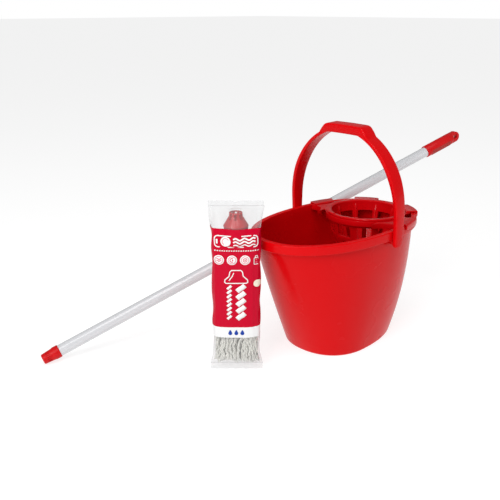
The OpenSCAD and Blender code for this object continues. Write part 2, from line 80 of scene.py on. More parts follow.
# %% Node helper
class Nodes:
    """A node tree that is being filled in."""

    def __init__(self, tree):
        self.tree = tree

    def add(self, kind, inputs=None, **options):
        node = self.tree.nodes.new(kind)
        for name, value in options.items():
            setattr(node, name, value)
        for key, value in (inputs or {}).items():
            self.feed(node.inputs[key], value)
        return node

    def feed(self, socket, value):
        if isinstance(value, Field):
            value = value.socket
        if isinstance(value, bpy.types.NodeSocket):
            self.tree.links.new(value, socket)
        else:
            socket.default_value = value

    def math(self, operation, a, b=0.0):
        node = self.add("ShaderNodeMath", operation=operation)
        self.feed(node.inputs[0], a)
        self.feed(node.inputs[1], b)
        return Field(self, node.outputs[0])


class Field:
    """A number in a node tree that Python arithmetic works on."""

    def __init__(self, nodes, socket):
        self.nodes = nodes
        self.socket = socket

    def __add__(self, other):
        return self.nodes.math("ADD", self, other)

    def __sub__(self, other):
        return self.nodes.math("SUBTRACT", self, other)

    def __rsub__(self, other):
        return self.nodes.math("SUBTRACT", other, self)

    def __mul__(self, other):
        return self.nodes.math("MULTIPLY", self, other)

    __radd__, __rmul__ = __add__, __mul__

    def __truediv__(self, other):
        return self.nodes.math("DIVIDE", self, other)

    def __rtruediv__(self, other):
        return self.nodes.math("DIVIDE", other, self)

    def does(self, operation, other=0.0):
        return self.nodes.math(operation, self, other)


# %% [markdown]
# Every finish starts as a Principled shader whose colour drifts a little over the surface and
# whose bump gives the light something to catch. Both patterns read Object coordinates, which
# are the part's own metres, so they keep their size on every piece.


# %% Finish helper
def opened(material):
    """The material's node tree, ready for more nodes, and its shader."""
    return Nodes(material.node_tree), material.node_tree.nodes["Principled BSDF"]


def finish_of(name, colour, roughness, drift=0.06, drift_scale=9.0, bump=0.02,
              bump_scale=900.0, rough_drift=0.05, **sockets):
    material = bpy.data.materials.new(name)
    material.use_nodes = True
    nodes, shader = opened(material)
    place = nodes.add("ShaderNodeTexCoord").outputs["Object"]
    patches = nodes.add("ShaderNodeTexNoise",
                        {"Vector": place, "Scale": drift_scale, "Detail": 4.0})
    tone = nodes.add("ShaderNodeMix", {"Factor": patches.outputs["Fac"]}, data_type="RGBA")
    darker = [c * (1 - drift) for c in colour]
    lighter = [min(1.0, c * (1 + drift)) for c in colour]
    tone.inputs[6].default_value = (*darker, 1)
    tone.inputs[7].default_value = (*lighter, 1)
    nodes.feed(shader.inputs["Base Color"], tone.outputs[2])
    spread = Field(nodes, patches.outputs["Fac"]) * (2 * rough_drift) + (roughness - rough_drift)
    nodes.feed(shader.inputs["Roughness"], spread)
    if bump:
        grain = nodes.add("ShaderNodeTexNoise",
                          {"Vector": place, "Scale": bump_scale, "Detail": 3.0})
        relief = nodes.add("ShaderNodeBump", {"Strength": bump, "Distance": 0.001,
                                              "Height": grain.outputs["Fac"]})
        nodes.feed(shader.inputs["Normal"], relief.outputs["Normal"])
    for key, value in sockets.items():
        shader.inputs[key.replace("_", " ")].default_value = value
    return material


def dress(piece, material):
    piece.data.materials.clear()
    piece.data.materials.append(material)
    return piece


# %% [markdown]
# The bucket, bail and wringer are injection-moulded polypropylene. It is glossy but not a
# mirror, with a very fine orange-peel. The fittings and the grip pad have finishes of their own.

# %% Red moulded plastic
bucket_red = finish_of("moulded red plastic", (0.66, 0.0010, 0.0030), 0.27, drift=0.02,
                       bump=0.04, bump_scale=380.0, Specular_IOR_Level=0.08, Coat_Weight=0.05,
                       Coat_Roughness=0.10)
wringer_red = finish_of("wringer red plastic", (0.64, 0.0012, 0.0040), 0.25, drift=0.03,
                        bump=0.05, bump_scale=420.0, Specular_IOR_Level=0.16, Coat_Weight=0.12,
                        Coat_Roughness=0.10)
grip_red = finish_of("pole fitting red plastic", (0.58, 0.008, 0.010), 0.34, drift=0.06,
                     bump=0.08, bump_scale=700.0, Specular_IOR_Level=0.15)
pad_red = finish_of("soft grip pad", (0.40, 0.030, 0.024), 0.62, drift=0.10,
                    bump=0.25, bump_scale=1600.0, Sheen_Weight=0.08, Specular_IOR_Level=0.2)
socket_red = finish_of("socket red plastic", (0.52, 0.002, 0.006), 0.22, drift=0.05,
                       bump=0.05, bump_scale=500.0, Specular_IOR_Level=0.25, Coat_Weight=0.1,
                       Coat_Roughness=0.10)

# %% [markdown]
# The pole is a thin steel tube in a white plastic skin. Drawing the skin on leaves faint
# lengthwise lines, so its bump is a noise that is stretched along the pole by a Mapping node.

# %% White pole coating
def joint_named(name):
    return next(j for j in frame["joints"] if j["name"] == name)


def pole_coating():
    material = finish_of("white pole coating", (0.64, 0.65, 0.67), 0.16, drift=0.02,
                         bump=0.0, Coat_Weight=0.4, Coat_Roughness=0.06)
    nodes, shader = opened(material)
    place = nodes.add("ShaderNodeTexCoord").outputs["Object"]
    axis = Vector(joint_named("thread_cap_turn")["axis"]).normalized()
    turned = axis.to_track_quat("Z", "X").inverted().to_euler()
    along = nodes.add("ShaderNodeMapping", {"Vector": place}, vector_type="POINT")
    along.inputs["Rotation"].default_value = turned
    squeezed = nodes.add("ShaderNodeMapping", {"Vector": along.outputs[0]})
    squeezed.inputs["Scale"].default_value = (700, 700, 6)
    lines = nodes.add("ShaderNodeTexNoise",
                      {"Vector": squeezed.outputs[0], "Scale": 1.0, "Detail": 2.0})
    relief = nodes.add("ShaderNodeBump", {"Strength": 0.05, "Distance": 0.001,
                                          "Height": lines.outputs["Fac"]})
    nodes.feed(shader.inputs["Normal"], relief.outputs["Normal"])
    return material


pole_white = pole_coating()

# %% [markdown]
# Pieces that the CAD already shapes well are kept in shape: their loose triangles are merged
# into one surface, flat regions become single faces, and each hard edge gets the small radius
# that a mould leaves. The copy then stands for the CAD node.


# %% Rounded copies of CAD pieces
def bake_modifiers(piece):
    """Turns a piece and its modifiers into a plain mesh."""
    bpy.context.view_layer.update()
    evaluated = piece.evaluated_get(bpy.context.evaluated_depsgraph_get())
    mesh = bpy.data.meshes.new_from_object(evaluated)
    piece.modifiers.clear()
    piece.data = mesh
    return piece


def mesh_of(name, points, faces):
    mesh = bpy.data.meshes.new(name)
    mesh.from_pydata(points, [], faces)
    return mesh


def new_piece(name, mesh):
    piece = bpy.data.objects.new(name, mesh)
    bpy.context.scene.collection.objects.link(piece)
    return piece


def shade(mesh, sharp_degrees=35):
    """Smooth shading that keeps edges sharper than this angle."""
    mesh.shade_smooth()
    work = bmesh.new()
    work.from_mesh(mesh)
    for edge in work.edges:
        if len(edge.link_faces) == 2 and edge.calc_face_angle() > math.radians(sharp_degrees):
            edge.smooth = False
    work.to_mesh(mesh)
    work.free()


def round_edges(piece, radius, segments, angle):
    """Bevels the edges that are sharper than an angle in degrees."""
    bevel = piece.modifiers.new("mould radius", "BEVEL")
    bevel.width = radius
    bevel.segments = segments
    bevel.limit_method = "ANGLE"
    bevel.angle_limit = math.radians(angle)
    return bake_modifiers(piece)


def thicken(piece, thickness, offset=0):
    wall = piece.modifiers.new("wall", "SOLIDIFY")
    wall.thickness = thickness
    wall.offset = offset
    return bake_modifiers(piece)


def rounded_copy(node, radius, material):
    mesh = bpy.data.meshes.new(node + "_smooth")
    work = bmesh.new()
    work.from_mesh(frame["nodes"][node].data)
    bmesh.ops.remove_doubles(work, verts=work.verts, dist=0.00001)
    bmesh.ops.dissolve_limit(work, angle_limit=math.radians(0.5), verts=work.verts,
                             edges=work.edges)
    work.to_mesh(mesh)
    work.free()
    piece = new_piece(node + "_shape", mesh)
    if radius:
        round_edges(piece, radius, 2, 38)
    shade(piece.data)
    return settle(dress(piece, material), node)


def slot_of(node):
    rows = frame["record"]["subparts"]
    return next(r["material_slot"] for r in rows if r["node"] == node)


def body_of(node):
    groups = frame["record"]["behaviour"]["bodies"]
    return next(b for b, members in groups.items() if node in members)


def settle(piece, *nodes):
    """The piece rides where its CAD nodes ride and stands for them."""
    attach(piece, body_of(nodes[0]))
    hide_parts(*nodes)
    slot_of(nodes[0])
    print(piece.name, len(piece.data.polygons), "faces on", body_of(nodes[0]))
    return piece


for cad_node, millimetres, finish in (
        ("wringer_plate", 0.6, wringer_red), ("wringer_cup", 0.5, wringer_red),
        ("pole_tube", 0, pole_white), ("pole_grip", 0.7, grip_red), ("grip_pad", 0.15, pad_red),
        ("pole_thread", 0.2, grip_red), ("thread_cap", 0.25, grip_red),
        ("mop_socket", 0.3, socket_red), ("yarn_plug", 0.3, socket_red)):
    rounded_copy(cad_node, millimetres * MM, finish)

# %% [markdown]
# The bucket is one wall that follows a rule: at every height its plan is an egg-shaped
# superellipse, and the spout end, the sides and the wringer end each flare in their own way.
# So the wall starts as a flat strip, unrolled, whose X is the share of a turn, whose Y is how far
# the surface stands out from the wall's outer face, and whose Z is the height. A Geometry
# Nodes tree with the bucket's sizes as inputs bends the strip round the oval and closes it.

# %% Bucket sizes from the frame
BUCKET_LOW, BUCKET_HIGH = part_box("bucket_shell")
RIM_HALF_L = (BUCKET_HIGH.x - BUCKET_LOW.x) / 2
HEIGHT = BUCKET_HIGH.z
RIM_HALF_W = 119 * MM
FOOT_R, FLOOR_R, LIP_R, ROWS = 5 * MM, 7 * MM, 2.2 * MM, 34
FOOT_BACK, FOOT_FRONT, FOOT_HALF_W = 89 * MM, 147 * MM, 84 * MM
LIP_OUT, LIP_H, WALL = 8 * MM, 17 * MM, 2.4 * MM
SQUARE_OFF, EGG = 2.25, 0.04
SKIRT_Z = HEIGHT - LIP_H
BACK_CURVE, FRONT_CURVE, SIDE_CURVE = 1.02, 2.98, 1.75


def arc(cx, cz, r, start, end, n=5):
    """Profile points (outward, height) on an arc from one angle to another, in degrees."""
    angles = [math.radians(start + (end - start) * i / n) for i in range(n + 1)]
    return [(cx + r * math.cos(a), cz + r * math.sin(a)) for a in angles]


# %% The bucket's unrolled strip
def bucket_profile():
    """(outward, height, share of the way out from the middle) from the foot round to the floor."""
    def full(points):
        return [(x, z, 1) for x, z in points]

    under = HEIGHT - 2.8 * MM
    skirt_in, half_wall = LIP_OUT - WALL, 0.5 * WALL
    rows = [(-FOOT_R, 0, i / 4) for i in range(4)]
    rows += full(arc(-FOOT_R, FOOT_R, FOOT_R, -90, 0, 6))
    rows += [(0, FOOT_R + (under - 7 * MM) * (i / ROWS) ** 1.2, 1) for i in range(1, ROWS + 1)]
    rows += full(arc(1.6 * MM, under - 1.6 * MM, 1.6 * MM, 180, 90, 3))
    rows += full(arc(skirt_in - 1 * MM, under - 1 * MM, 1 * MM, 90, 0, 2))
    rows += full(arc(skirt_in + half_wall, SKIRT_Z + half_wall, half_wall, 180, 360, 6))
    rows += [(LIP_OUT, SKIRT_Z + LIP_H * share, 1) for share in (0.3, 0.6)]
    rows += full(arc(LIP_OUT - LIP_R, HEIGHT - LIP_R, LIP_R, 0, 90))
    # A shallow valley runs between the two rounded edges of the lip
    rows += full((x * MM, HEIGHT - z * MM)
                 for x, z in ((4.2, 0.3), (2.6, 0.9), (1.0, 0.9), (-0.2, 0.1)))
    rows += full(arc(-1.0 * MM, HEIGHT - 1.4 * MM, 1.4 * MM, 80, 180, 5))
    rows += [(-WALL, 6 * MM + (HEIGHT - 10 * MM) * (1 - i / ROWS) ** 1.2, 1)
             for i in range(1, ROWS)]
    rows += full(arc(-WALL - FLOOR_R, WALL + FLOOR_R, FLOOR_R, 0, -90, 5))
    rows += [(-WALL - FLOOR_R, WALL, 1 - i / 5) for i in range(1, 6)]
    return rows


def unrolled_wall(turns=200):
    rows = bucket_profile()
    points = [(t / turns, x, z) for x, z, _ in rows for t in range(turns + 1)]
    faces = [(r * (turns + 1) + t, r * (turns + 1) + t + 1,
              (r + 1) * (turns + 1) + t + 1, (r + 1) * (turns + 1) + t)
             for r in range(len(rows) - 1) for t in range(turns)]
    mesh = mesh_of("bucket_strip", points, faces)
    reach = mesh.attributes.new("reach", "FLOAT", "POINT")
    reach.data.foreach_set("value", [s for _, _, s in rows for _ in range(turns + 1)])
    return mesh


# %% [markdown]
# The tree below computes the oval with ordinary Math nodes. The small Field class lets those
# nodes be written as arithmetic, so the formula can be read.


# %% The tree that bends the strip
def geometry_tree(name, sizes):
    """A Geometry Nodes tree with named number inputs, and its input and output nodes."""
    tree = bpy.data.node_groups.new(name, "GeometryNodeTree")
    tree.interface.new_socket("Geometry", in_out="INPUT", socket_type="NodeSocketGeometry")
    for label, value in sizes.items():
        kind = "NodeSocketInt" if isinstance(value, int) else "NodeSocketFloat"
        tree.interface.new_socket(label, in_out="INPUT", socket_type=kind).default_value = value
    tree.interface.new_socket("Geometry", in_out="OUTPUT", socket_type="NodeSocketGeometry")
    nodes = Nodes(tree)
    return nodes, nodes.add("NodeGroupInput"), nodes.add("NodeGroupOutput")


def point_place(nodes):
    """The X, Y and Z of each point."""
    place = nodes.add("GeometryNodeInputPosition").outputs[0]
    parts = nodes.add("ShaderNodeSeparateXYZ", {0: place})
    return [Field(nodes, parts.outputs[i]) for i in range(3)]


def end_tree(nodes, out, geometry, material):
    """Smooths, realizes and paints the geometry, and returns the finished tree."""
    smooth = nodes.add("GeometryNodeSetShadeSmooth", {"Geometry": geometry})
    real = nodes.add("GeometryNodeRealizeInstances", {"Geometry": smooth.outputs[0]})
    painted = nodes.add("GeometryNodeSetMaterial",
                        {"Geometry": real.outputs[0], "Material": material})
    nodes.feed(out.inputs["Geometry"], painted.outputs[0])
    return nodes.tree


def signed_power(value, exponent):
    return value.does("SIGN") * value.does("ABSOLUTE").does("POWER", exponent)


def bucket_tree(sizes):
    nodes, given, out = geometry_tree("bend the wall round the oval", sizes)
    size = {label: Field(nodes, given.outputs[label]) for label in sizes}
    turn, grow, height = point_place(nodes)
    reach = nodes.add("GeometryNodeInputNamedAttribute", {"Name": "reach"}, data_type="FLOAT")
    angle = turn * TURN
    share = (height / size["Skirt height"]).does("MINIMUM", 1.0)

    def flare(curve):
        return 1 - (1 - share).does("POWER", size[curve])

    def half(foot, rim, curve):
        wall = size[rim] - size["Lip overhang"]
        return size[foot] + (wall - size[foot]) * flare(curve) + grow

    across = signed_power(angle.does("COSINE"), 2 / size["Squareness"])
    aside = signed_power(angle.does("SINE"), 2 / size["Squareness"])
    back = half("Foot back", "Rim half length", "Back curve")
    front = half("Foot front", "Rim half length", "Front curve")
    is_front = across.does("GREATER_THAN", 0.0)
    reach = Field(nodes, reach.outputs[0])
    x = across * (is_front * front + (1 - is_front) * back) * reach
    widen = 1 + size["Egg"] * share * x * 2 / (back + front)
    y = aside * half("Foot half width", "Rim half width", "Side curve") * widen * reach
    bent = nodes.add("ShaderNodeCombineXYZ", {0: x, 1: y, 2: height})
    moved = nodes.add("GeometryNodeSetPosition",
                      {"Geometry": given.outputs["Geometry"], "Position": bent.outputs[0]})
    closed = nodes.add("GeometryNodeMergeByDistance",
                       {"Geometry": moved.outputs[0], "Distance": 0.00002})
    return end_tree(nodes, out, closed.outputs[0], bucket_red)


def run_tree(piece, tree):
    """Adds the tree as a modifier and makes its result the piece's mesh."""
    piece.modifiers.new(tree.name, "NODES").node_group = tree
    return bake_modifiers(piece)


bucket_sizes = {
    "Rim half length": RIM_HALF_L, "Rim half width": RIM_HALF_W, "Foot back": FOOT_BACK,
    "Foot front": FOOT_FRONT, "Foot half width": FOOT_HALF_W, "Lip overhang": LIP_OUT,
    "Skirt height": SKIRT_Z, "Squareness": SQUARE_OFF, "Egg": EGG, "Back curve": BACK_CURVE,
    "Front curve": FRONT_CURVE, "Side curve": SIDE_CURVE}
bucket = new_piece("bucket_wall", unrolled_wall())
run_tree(bucket, bucket_tree(bucket_sizes))
settle(bucket, "bucket_shell")


# %% [markdown]
# Python needs the rim's outline too, for the ears and for the hooks that lie on it.


# %% The rim in Python
def signed(value, exponent):
    return math.copysign(abs(value) ** exponent, value)


def rim_point(degrees, grow):
    a = math.radians(degrees)
    x = (RIM_HALF_L + grow) * signed(math.cos(a), 2 / SQUARE_OFF)
    y = (RIM_HALF_W + grow) * signed(math.sin(a), 2 / SQUARE_OFF)
    return Vector((x, y * (1 + EGG * x / (RIM_HALF_L + grow)), 0))


def sweep(name, rings, closed=False):
    """A skin over rings with the same number of points, with flat ends if it isn't closed."""
    n = len(rings[0])
    points = [tuple(p) for ring in rings for p in ring]
    spans = len(rings) if closed else len(rings) - 1
    faces = [(r * n + i, r * n + (i + 1) % n, ((r + 1) % len(rings)) * n + (i + 1) % n,
              ((r + 1) % len(rings)) * n + i) for r in range(spans) for i in range(n)]
    if not closed:
        faces += [tuple(range(n)), tuple((len(rings) - 1) * n + i for i in range(n))]
    mesh = mesh_of(name, points, faces)
    tidy_normals(mesh)
    return mesh


def tidy_normals(mesh):
    work = bmesh.new()
    work.from_mesh(mesh)
    bmesh.ops.remove_doubles(work, verts=work.verts, dist=0.000002)
    bmesh.ops.recalc_face_normals(work, faces=work.faces)
    work.to_mesh(mesh)
    work.free()


def soften(piece, radius, angle=35):
    round_edges(piece, radius, 3, angle)
    shade(piece.data, 50)
    return piece


def join(name, *pieces):
    """One piece from several, with its place in its mesh."""
    work = bmesh.new()
    for piece in pieces:
        work.from_mesh(piece.data)
        bpy.data.objects.remove(piece)
    mesh = bpy.data.meshes.new(name)
    work.to_mesh(mesh)
    work.free()
    return new_piece(name, mesh)


def disc_post(name, place, axis_y, radius, hollow=0.0):
    """A round post along Y from axis_y[0] to axis_y[1], with a bore if hollow is its radius."""
    def ring(r, y):
        return [Vector((x, y, z)) for x, z in arc(*place, r, 0, 360, 48)[:-1]]

    y0, y1 = axis_y
    rings = [ring(radius, y0), ring(radius, y1)]
    if hollow:
        rings += [ring(hollow, y1), ring(hollow, y0)]
    return new_piece(name, sweep(name, rings, closed=bool(hollow)))


# %% [markdown]
# The bail turns in two round ears that stand between the wall and the rim's skirt. They are
# separate discs with a bore, let into the wall, and they ride with the bucket.

# %% Pivot ears
PIVOT = Vector(joint_named("bail_swing")["pos_m"])
PIVOT_HALF = RIM_HALF_W
EAR_R, PEG_R, PEG_FIT = 10.5 * MM, 6 * MM, 0.05 * MM


def pivot_ears():
    ears = []
    for side in (-1, 1):
        span = sorted((side * (PIVOT_HALF - LIP_OUT - 1.6 * MM), side * (PIVOT_HALF - 0.2 * MM)))
        ears.append(soften(disc_post("ear", (PIVOT.x, PIVOT.z), span, EAR_R,
                                     hollow=PEG_R + PEG_FIT), 0.8 * MM))
    return dress(join("pivot_ears", *ears), bucket_red)


ears = pivot_ears()
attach(ears, "bucket")
shade(ears.data, 50)

# %% [markdown]
# The bail is a flat strap that is bent into an arch, with a raised grip in the middle. It is
# narrow at its rounded feet and widens up the arms. So it is lofted: stations go along the
# arch in pairs, one on its outer and one on its inner line, and each pair carries a rounded
# rectangle as wide as the strap is at that height.

# %% Bail sizes
STRAP_W, LEG_W, STRAP_T = 31 * MM, 22 * MM, 8 * MM
BAIL_H, ARCH_Z, GRIP_T, GRIP_HALF = 198 * MM, 43 * MM, 16 * MM, 42 * MM
FOOT_DROP, FOOT_CORNER, FULL_W_Z = 14 * MM, 6 * MM, 110 * MM
LEG_OUT = PIVOT_HALF + 0.6 * MM + STRAP_T
ARCH_H = BAIL_H - ARCH_Z - 4 * MM
LEAN = math.radians(1.3)


def half_width(z):
    """Half the strap's width at a height over the pivots."""
    if z < FOOT_CORNER - FOOT_DROP:
        rise = FOOT_CORNER - FOOT_DROP - z
        return LEG_W / 2 - FOOT_CORNER + math.sqrt(max(0, FOOT_CORNER ** 2 - rise ** 2))
    share = min(1, max(0, z / FULL_W_Z))
    return LEG_W / 2 + (STRAP_W - LEG_W) / 2 * share


def arm(half, high, end_y, n):
    """Points up one arm's ellipse, from where it starts to where it reaches end_y."""
    stop = math.acos(end_y / half)
    return [(half * math.cos(stop * i / n), ARCH_Z + high * math.sin(stop * i / n))
            for i in range(n + 1)]


def resampled(points, n):
    """n points at even spacing along a polyline."""
    steps = [0.0]
    for a, b in zip(points, points[1:]):
        steps.append(steps[-1] + math.dist(a, b))
    ys, zs = zip(*points)
    spots = np.linspace(0, steps[-1], n)
    return list(zip(np.interp(spots, steps, ys), np.interp(spots, steps, zs)))


# %% Bail handle
def bail_lines():
    """The outer and inner line of one half, as pairs of stations from the foot to the middle."""
    inner, inner_h = LEG_OUT - STRAP_T, ARCH_H - STRAP_T + 2 * MM
    under = BAIL_H - GRIP_T
    inner_end = inner * math.sqrt(1 - ((under - ARCH_Z) / inner_h) ** 2)
    feet = [-FOOT_DROP + FOOT_CORNER * (1 - math.cos(math.radians(a))) for a in range(8, 91, 12)]
    legs = feet + list(np.linspace(0, ARCH_Z, 8)[:-1])
    outside = [(LEG_OUT, z) for z in legs] + arm(LEG_OUT, ARCH_H, GRIP_HALF + 14 * MM, 34)
    inside = [(inner, z) for z in legs] + arm(inner, inner_h, inner_end, 34)
    rise = [outside[-1], (GRIP_HALF + 9.5 * MM, BAIL_H - 12 * MM),
            (GRIP_HALF + 4 * MM, BAIL_H - 5.2 * MM), (GRIP_HALF + 0.5 * MM, BAIL_H - 2.0 * MM),
            (GRIP_HALF - 4 * MM, BAIL_H - 0.3 * MM), (GRIP_HALF - 9 * MM, BAIL_H),
            (0, BAIL_H + 0.5 * MM)]
    floor = [inside[-1], (inner_end - 5 * MM, under - 0.2 * MM), (0, under)]
    return outside + resampled(rise, 26)[1:], inside + resampled(floor, 26)[1:]


def strap_ring(outer, inner, radius=2.0 * MM):
    """A rounded rectangle between an outer and an inner point."""
    outer, inner = Vector(outer), Vector(inner)
    out = (outer - inner).normalized()
    thick, wide = (outer - inner).length, half_width((outer.y + inner.y) / 2)
    ring = []
    for side, at_top, start in ((1, 1, 0), (-1, 1, 90), (-1, 0, 180), (1, 0, 270)):
        middle = thick - radius if at_top else radius
        for x, t in arc(side * (wide - radius), middle, radius, start, start + 90, 3):
            spot = inner + out * t
            ring.append(Vector((PIVOT.x + x, spot.x, PIVOT.z + spot.y)))
    return ring


def bail():
    outside, inside = bail_lines()
    half = [strap_ring(o, i) for o, i in zip(outside, inside)]
    other = [[Vector((p.x, -p.y, p.z)) for p in ring] for ring in reversed(half[:-1])]
    strap = new_piece("strap", sweep("strap", half + other))
    pegs = []
    for side in (-1, 1):
        span = sorted((side * (LEG_OUT - STRAP_T + 1 * MM), side * (PIVOT_HALF - 6.8 * MM)))
        pegs.append(disc_post("peg", (PIVOT.x, PIVOT.z), span, PEG_R))
    piece = join("bail_strap", strap, *pegs)
    turn = (Matrix.Translation(PIVOT) @ Matrix.Rotation(-LEAN, 4, "Y")
            @ Matrix.Translation(-PIVOT))
    piece.data.transform(turn)
    shade(piece.data, 40)
    return dress(piece, bucket_red)


settle(bail(), "bail_handle")

# %% [markdown]
# The wringer hangs on the rim by four moulded hooks. Each one is the same section, swept along
# a stretch of the rim's oval, with rounded edges.


# %% Hooks over the rim
PLATE_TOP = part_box("wringer_plate")[1].z
HOOK_T, HOOK_IN, HOOK_DROP, HOOK_GAP = 2.6 * MM, 12 * MM, 8 * MM, 0.6 * MM


def rim_hook(start, end, side):
    back, out = -LIP_OUT - HOOK_IN, HOOK_GAP + HOOK_T
    low, top = HEIGHT - HOOK_DROP, PLATE_TOP + HOOK_T
    section = [(back, PLATE_TOP), (back, PLATE_TOP + 0.6 * HOOK_T), (back + 2 * MM, top),
               (out - 2 * MM, top), (out - 0.6 * MM, top - 0.6 * MM), (out, top - 2 * MM),
               (out, low), (out - HOOK_T, low), (out - HOOK_T, PLATE_TOP)]
    rings = []
    for i in range(21):
        t = start + (end - start) * i / 20
        rings.append([Vector((rim_point(t, s).x, side * rim_point(t, s).y, z))
                      for s, z in section])
    return soften(new_piece("hook", sweep("hook", rings)), 0.7 * MM, 25)


for node, span in (("side_hooks", (56, 73.5)), ("end_hooks", (14, 36))):
    hooks = join(node + "_shape", rim_hook(*span, 1), rim_hook(*span, -1))
    shade(hooks.data, 50)
    settle(dress(hooks, wringer_red), node)

# %% [markdown]
# The bag is a flat tube of film, sealed across both ends. Filled, it is a pillow: its section goes
# from a line at each seal to a rounded oval, and gets narrower as it gets thicker. One
# function gives the surface, and the film, the print and the yarn all use it, so they fit.

# %% The bag's surface
FILM_LOW, FILM_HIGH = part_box("bag_film")
SEAL_LOW, SEAL_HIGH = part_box("bag_foot_seal")
TOP_SEAL_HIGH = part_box("bag_top_seal")[1].z
PACK_TURN = math.radians(-44.3)
PACK_PLACE = Vector(((SEAL_LOW.x + SEAL_HIGH.x) / 2, (SEAL_LOW.y + SEAL_HIGH.y) / 2, 0))
TO_PACK = Matrix.Translation(PACK_PLACE) @ Matrix.Rotation(PACK_TURN, 4, "Z")
BAG_W, BAG_T, BAG_PINCH, SEAL_T = 95 * MM, 47 * MM, 11 * MM, 1.2 * MM
FOOT_TAPER, HEAD_TAPER, BAG_CORNER = 24 * MM, 66 * MM, 0.6
CROWN_LOW, CROWN_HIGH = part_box("yarn_crown")
BELL_R = (CROWN_HIGH.x - CROWN_LOW.x) / 2 + 0.5 * MM
SOCKET_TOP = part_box("mop_socket")[1].z
NECK_R, NECK_H = 11.5 * MM, 8 * MM
YARN_HIGH = CROWN_HIGH.z
COVER_Z = [YARN_HIGH - 12 * MM, YARN_HIGH, SOCKET_TOP - NECK_H - 13 * MM,
           SOCKET_TOP - NECK_H + 1 * MM, SOCKET_TOP + 1.4 * MM, SOCKET_TOP + 6 * MM, FILM_HIGH.z]
FAN, PLEAT, CRINKLE = 1.3 * MM, 1.0 * MM, 0.55 * MM
FILM_GROW, INK_LOW, INK_HIGH, PRINT_GROW = -0.3 * MM, 0.15 * MM, 0.5 * MM, 0.8 * MM
COVER_R = [0, BELL_R + 2.0 * MM, BELL_R + 2.0 * MM, NECK_R + 3.6 * MM, NECK_R + 2.5 * MM,
           NECK_R - 6 * MM, 0]


def fullness(z):
    low = min(1, max(0, (z - FILM_LOW.z) / FOOT_TAPER))
    high = min(1, max(0, (FILM_HIGH.z - z) / HEAD_TAPER))
    return min(math.sin(math.pi / 2 * low), math.sin(math.pi / 2 * high))


def cover_radius(z):
    """How far the film has to stand out to drape over the socket."""
    return float(np.interp(z, COVER_Z, COVER_R))


def creases(t, z):
    """How far the film stands in or out of its smooth shape at angle t and height z."""
    full = fullness(z)
    side = abs(math.cos(t)) ** 6
    fan = (1 - full) * FAN * math.sin(9 * t + 3 * noise.noise(Vector((t, z * 20, 1))))
    around = Vector((math.cos(t) * 2.2, math.sin(t) * 2.2, z * 26))
    crinkle = noise.turbulence(around, 3, True) - 0.45
    long_fold = noise.noise(Vector((math.cos(t) * 4, math.sin(t) * 4, z * 7 + 4)))
    pleat = side * PLEAT * math.sin(z * 90 + 5 * noise.noise(Vector((t, z * 9, 7))))
    return fan + pleat + full * (CRINKLE * crinkle + CRINKLE * long_fold)


def bag_point(t, z, grow):
    full = fullness(z)
    out = grow + creases(t, z)
    thick = SEAL_T / 2 + (BAG_T - SEAL_T) / 2 * full + out * min(1, 0.15 + full * 2)
    wide = (BAG_W - BAG_PINCH * full) / 2 + out
    x = wide * signed(math.cos(t), BAG_CORNER)
    pillow = thick * signed(abs(math.sin(t)), BAG_CORNER)
    cover = cover_radius(z) + grow
    drape = math.sqrt(max(0, cover * abs(cover) - x * x))
    # A soft maximum, so that the film runs smoothly from the socket to its sides
    y = (pillow ** 6 + drape ** 6) ** (1 / 6)
    return TO_PACK @ Vector((x, math.copysign(y, math.sin(t)), z))


def bag_ring(z, grow, n=180, start=0.0, end=TURN):
    return [bag_point(start + (end - start) * i / n, z, grow) for i in range(n)]


# %% [markdown]
# Polythene film is nearly clear, but where it is seen at a slant it turns milky and catches the
# light. Layer Weight gives that slant, so the shader's alpha goes up toward the edges.


# %% Clear film
def film_finish():
    material = finish_of("clear bag film", (0.66, 0.67, 0.68), 0.16, drift=0.10, drift_scale=30.0,
                         bump=0.3, bump_scale=90.0, Specular_IOR_Level=0.6)
    nodes, shader = opened(material)
    slant = nodes.add("ShaderNodeLayerWeight", {"Blend": 0.4})
    edge = Field(nodes, slant.outputs["Facing"]).does("POWER", 2.0)
    nodes.feed(shader.inputs["Alpha"], edge * 0.6 + 0.16)
    return material


clear_film = film_finish()


def film():
    heights = np.linspace(FILM_LOW.z, FILM_HIGH.z, 110)
    mesh = sweep("film", [bag_ring(z, FILM_GROW) for z in heights])
    mesh.shade_smooth()
    return dress(new_piece("bag_pouch", mesh), clear_film)


settle(film(), "bag_film")

# %% [markdown]
# A heated jaw presses fine ribs into each seal. Geometry Nodes lift a flat grid into ribs, with
# their spacing and depth as named inputs.


# %% Crimped seals
DIP, DIP_HALF, RIPPLE, SEAL_FILM_T = 2.2 * MM, 5 * MM, 0.9 * MM, 0.3 * MM


def crimp_tree():
    sizes = {"Rib spacing": 1.6 * MM, "Rib depth": 0.22 * MM}
    nodes, given, out = geometry_tree("crimp the seal", sizes)
    height = point_place(nodes)[2]
    wave = (height * TURN / Field(nodes, given.outputs["Rib spacing"])).does("SINE")
    lift = nodes.add("ShaderNodeCombineXYZ", {1: wave * given.outputs["Rib depth"]})
    moved = nodes.add("GeometryNodeSetPosition",
                      {"Geometry": given.outputs["Geometry"], "Offset": lift.outputs[0]})
    return end_tree(nodes, out, moved.outputs[0], clear_film)


